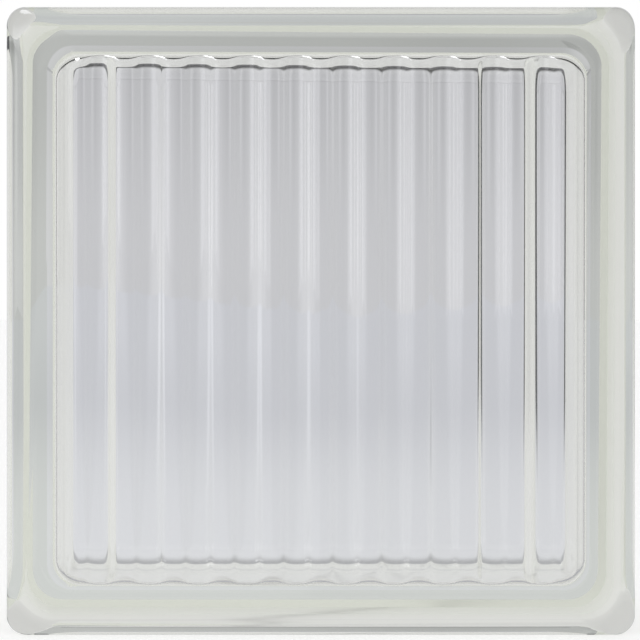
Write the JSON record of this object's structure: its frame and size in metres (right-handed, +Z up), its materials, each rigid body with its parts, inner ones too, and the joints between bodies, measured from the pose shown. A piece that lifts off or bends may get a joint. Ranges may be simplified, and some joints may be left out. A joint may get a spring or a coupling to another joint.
{
  "type": "glass block",
  "caption": "Square hollow block of pressed glass with rounded lips, a mortar channel round its edges and vertical ribs inside its front face.",
  "frame": {"origin": "middle of the underside, on the plane that the block stands on", "axes": "+X along the block's width, +Y through the block from its front face to its back face, +Z up along the ribs"},
  "size_m": [0.19, 0.08, 0.19],
  "materials": {
    "pressed_glass": "fire-polished clear glass with a faint green tint, and a milky coat on the mortar edges"
  },
  "bodies": {
    "root": {"front_tray": "pressed_glass", "back_tray": "pressed_glass"}
  },
  "joints": []
}
